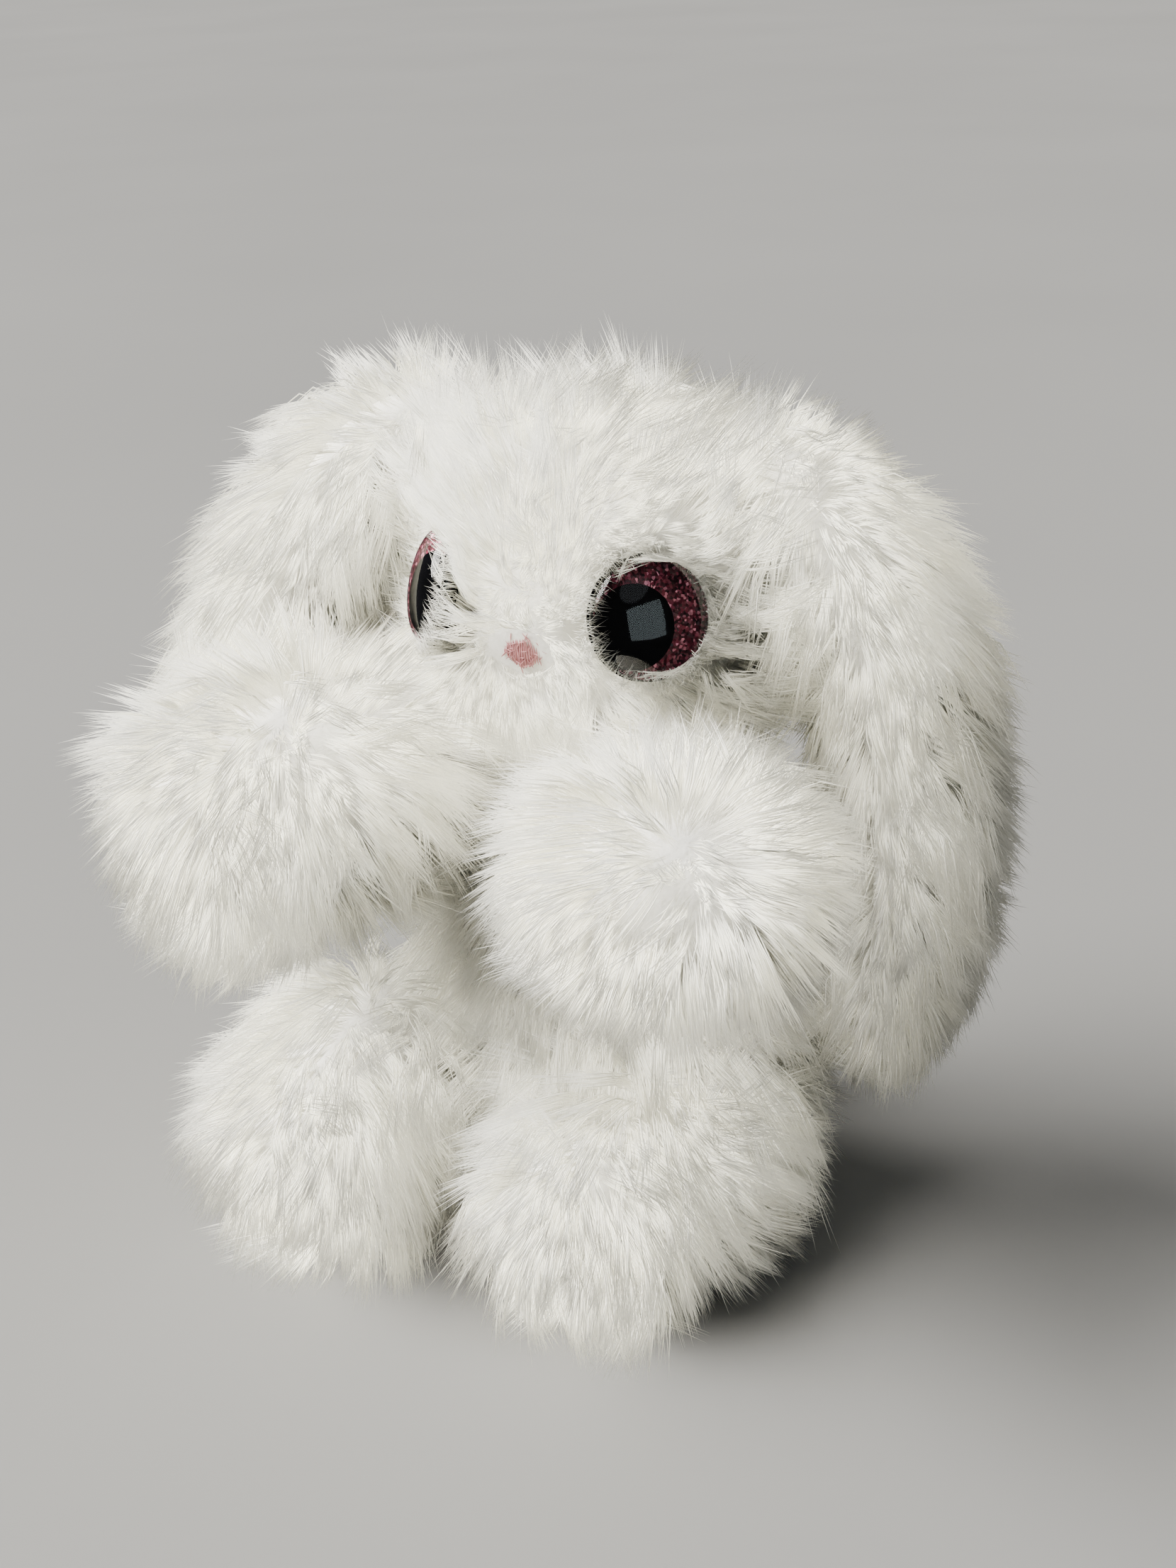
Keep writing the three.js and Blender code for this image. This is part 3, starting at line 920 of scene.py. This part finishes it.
def make_eye(side, name, materials):
    """A clear dome over a flat glitter iris and a black pupil, with a black ring of painted shade
    round the iris at the dome's rim, all in a dark backing cup.
    """
    rim = EYE_RADIUS - 0.0002
    dome = oval_arc(rim, EYE_DOME_HEIGHT - 0.0004, 0.0003, 14) + [(rim, -0.0009), (0, -0.0009)]
    iris = [(0, 0), (IRIS_RADIUS, 0), (IRIS_RADIUS, -0.0008), (0, -0.0008)]
    # A black lacquer ring between the iris and the dome's rim: painted shade that stands for the
    # shadow at the eye's edge.
    shaded_rim = [(IRIS_RADIUS, 0.0006), (rim - 0.0001, 0.0006), (rim - 0.0001, -0.0008),
              (IRIS_RADIUS, -0.0008), (IRIS_RADIUS, 0.0006)]
    cup = [(0, -0.0010), (EYE_RADIUS - 0.0001, -0.0010), (EYE_RADIUS - 0.0012, -0.0022),
           (0.0050, -0.0031), (0, -0.0031)]
    pieces = (("dome", lathe(dome)), ("iris", lathe(iris)), ("pupil", pupil_disc(side)),
              ("shaded_rim", lathe(shaded_rim)), ("cup", lathe(cup)))
    for piece, bm in pieces:
        place_on_face(bm, side)
        thing = mesh_object(f"{name}_{piece}", bm, materials[piece])
        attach(thing, "root")
        if piece == "dome":
            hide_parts(name)


FRINGE_HAIRS = 700
FRINGE_ROOTS = (0.0101, 0.0125)  # how far from its eye's middle a hair grows
FRINGE_RISE = (0.0018, 0.0034)  # how far it rises before it bends, and after
FRINGE_TIP_RISE = (0.0006, 0.0018)
FRINGE_LEAN = (0.0022, 0.0016)  # how far it leans in over the dome, and how much more at the nose


def make_fringe(side, material):
    """Short fine hairs round an eye's rim, bent in over the dome, furthest next to the nose."""
    axis = eye_direction(side)
    inwards = unit(NOSE_CENTRE - eye_centre(side) + DOWN * 0.006)
    inwards = unit(inwards - axis * (inwards @ axis))
    across = np.cross(axis, inwards)
    angle = RNG.uniform(-math.pi, math.pi, FRINGE_HAIRS)
    near_nose = (0.5 + 0.5 * np.cos(angle))[:, None]
    rim = inwards * np.cos(angle)[:, None] + across * np.sin(angle)[:, None]
    swirl = np.cross(axis, rim) * RNG.normal(size=(FRINGE_HAIRS, 1))
    root = eye_centre(side) + rim * RNG.uniform(*FRINGE_ROOTS, (FRINGE_HAIRS, 1)) - axis * 0.002
    bend = root + axis * RNG.uniform(*FRINGE_RISE, (FRINGE_HAIRS, 1)) + swirl * 0.0004
    lean = FRINGE_LEAN[0] + FRINGE_LEAN[1] * near_nose
    lean = RNG.uniform(0.3, 1.0, (FRINGE_HAIRS, 1)) * lean
    tip = bend + axis * RNG.uniform(*FRINGE_TIP_RISE, (FRINGE_HAIRS, 1))
    tip = tip - rim * lean + swirl * 0.0009
    places = np.stack([root, bend, tip], axis=1)
    thickness = RNG.uniform(0.07, 0.13, FRINGE_HAIRS) * MM
    patch = unwrap(unit(root - HEAD_CENTRE))
    name = "fringe_left" if side > 0 else "fringe_right"
    fringe = coat_mesh(name, places, thickness, patch, material)
    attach(fringe, "root")


# ---------------------------------------------------------------- nose

STITCHES = 22
THREAD_ENDS = 60


def make_nose(material):
    """A rounded triangle of satin stitches under a fuzz of loose thread ends."""
    bm = bmesh.new()
    for k in range(STITCHES + THREAD_ENDS):
        loose = k >= STITCHES
        across = RNG.uniform(-0.95, 0.95) if loose else -1 + 2 * (k + 0.5) / STITCHES
        top = NOSE_HALF_HEIGHT * math.sqrt(1 - 0.55 * across**2)
        bottom = -NOSE_HALF_HEIGHT * (1 - abs(across)) ** 0.75
        half = RNG.uniform(0.0006, 0.0012) if loose else (top - bottom) / 2
        middle = RNG.uniform(bottom, top) if loose else (top + bottom) / 2
        width = 0.00007 if loose else NOSE_HALF_WIDTH / STITCHES * 1.25
        depth = 0.00012 if loose else 0.0007
        thread = bmesh.ops.create_uvsphere(bm, u_segments=8, v_segments=10, radius=1)["verts"]
        size = Matrix.Diagonal((width, depth, half, 1))
        slant = RNG.uniform(-80, 80) if loose else RNG.uniform(-6, 6)
        lean = Matrix.Rotation(math.radians(slant), 4, "Y")
        lift = Matrix.Rotation(math.radians(RNG.uniform(-25, 25) if loose else 0), 4, "X")
        place = Matrix.Translation((NOSE_CENTRE[0] + across * NOSE_HALF_WIDTH,
                                    NOSE_CENTRE[1] + 0.0003 + 0.0011 * across**2 - 0.0006 * loose,
                                    NOSE_CENTRE[2] + middle))
        bmesh.ops.transform(bm, matrix=place @ lean @ lift @ size, verts=thread)
    nose = mesh_object("nose_stitches", bm, material)
    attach(nose, "root")
    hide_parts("nose")


# ---------------------------------------------------------------- floor, lights and camera

AZIMUTH = math.radians(30)
ELEVATION = math.radians(26)
ROLL = math.radians(2.8)
LOOK_AT = Vector((0, -0.007, 0.075))
LOOK_BELOW_MIDDLE = 0.00904  # how far under the middle of the view LOOK_AT lies
DISTANCE = 0.330
LENS = 43.94
SENSOR = 36.0
LIT = Vector((0, 0, 0.08))  # the point that the lamps face


def make_camera():
    level = math.cos(ELEVATION)
    back = Vector((math.sin(AZIMUTH) * level, -math.cos(AZIMUTH) * level, math.sin(ELEVATION)))
    right = Vector((math.cos(AZIMUTH), math.sin(AZIMUTH), 0))
    up = back.cross(right)
    rolled_right = right * math.cos(ROLL) - up * math.sin(ROLL)
    rolled_up = right * math.sin(ROLL) + up * math.cos(ROLL)
    data = bpy.data.cameras.new("camera")
    data.sensor_fit = "VERTICAL"
    data.sensor_height = SENSOR
    data.lens = LENS
    data.clip_start = 0.01
    camera = new_object("camera", data)
    place = Matrix((rolled_right, rolled_up, back)).transposed().to_4x4()
    place.translation = LOOK_AT + back * DISTANCE + rolled_up * LOOK_BELOW_MIDDLE
    camera.matrix_world = place
    bpy.context.scene.camera = camera


def add_light(kind, name, place, power, colour, only_gloss=False):
    """A lamp that faces the toy's middle. Cloth and pile don't show one that is only for gloss."""
    data = bpy.data.lights.new(name, kind)
    data.energy = power
    data.color = colour
    light = new_object(name, data)
    light.location = place
    light.rotation_euler = (LIT - Vector(place)).to_track_quat("-Z", "Y").to_euler()
    light.visible_diffuse = not only_gloss
    light.visible_transmission = not only_gloss
    return data


def make_studio():
    """A plain pale floor and a soft sky, a broad warm key from the toy's right, a cool fill from
    its left, and a catch light for its left eye."""
    bm = bmesh.new()
    bmesh.ops.create_grid(bm, x_segments=8, y_segments=8, size=20)
    floor = mesh_object("floor", bm, floor_material())
    floor.visible_glossy = False
    key = add_light("SUN", "key", (-0.90, -0.42, 0.96), 10.5, (1.0, 0.98, 0.94))
    key.angle = math.radians(40)
    fill = add_light("AREA", "fill", (0.80, -0.55, 1.05), 0.9, (0.86, 0.95, 1.0))
    fill.shape = "DISK"
    fill.size = 0.8
    catch = add_light("AREA", "catch_light", (0.73, -0.38, 0.25), 1.7, (0.80, 0.96, 1.0),
                      only_gloss=True)
    catch.shape = "RECTANGLE"
    catch.size = 0.50
    catch.size_y = 0.42
    world = bpy.data.worlds.new("soft_sky")
    world.use_nodes = True
    world.node_tree.nodes["Background"].inputs["Color"].default_value = (0.86, 0.88, 0.90, 1)
    world.node_tree.nodes["Background"].inputs["Strength"].default_value = 0.11
    bpy.context.scene.world = world


# ---------------------------------------------------------------- the toy

FLESH = ("head", "body", "arm_left", "arm_right", "leg_left", "leg_right", "ear_left", "ear_right",
         "tail")

make_camera()
make_studio()

forms = [form_bmesh(part) for part in PARTS]
skin = make_skin(forms, cloth_material())
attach(skin, "root")
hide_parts(*FLESH)

skin_tree = BVHTree.FromPolygons([v.co for v in skin.data.vertices],
                                 [p.vertices for p in skin.data.polygons])
outline = outline_tree()
pile = pile_material()
for part, form in zip(PARTS, forms):
    grow_coat(part, form, skin_tree, outline, pile)

lacquer = pupil_material()
# The black lacquer also makes the ring round each iris, which is painted shade at the eye's rim.
eye_materials = {"dome": dome_material(), "iris": glitter_material(), "pupil": lacquer,
                 "shaded_rim": lacquer, "cup": lacquer}
for side, name in ((1, "eye_left"), (-1, "eye_right")):
    make_eye(side, name, eye_materials)
    make_fringe(side, pile)
make_nose(thread_material())

bpy.context.view_layer.update()
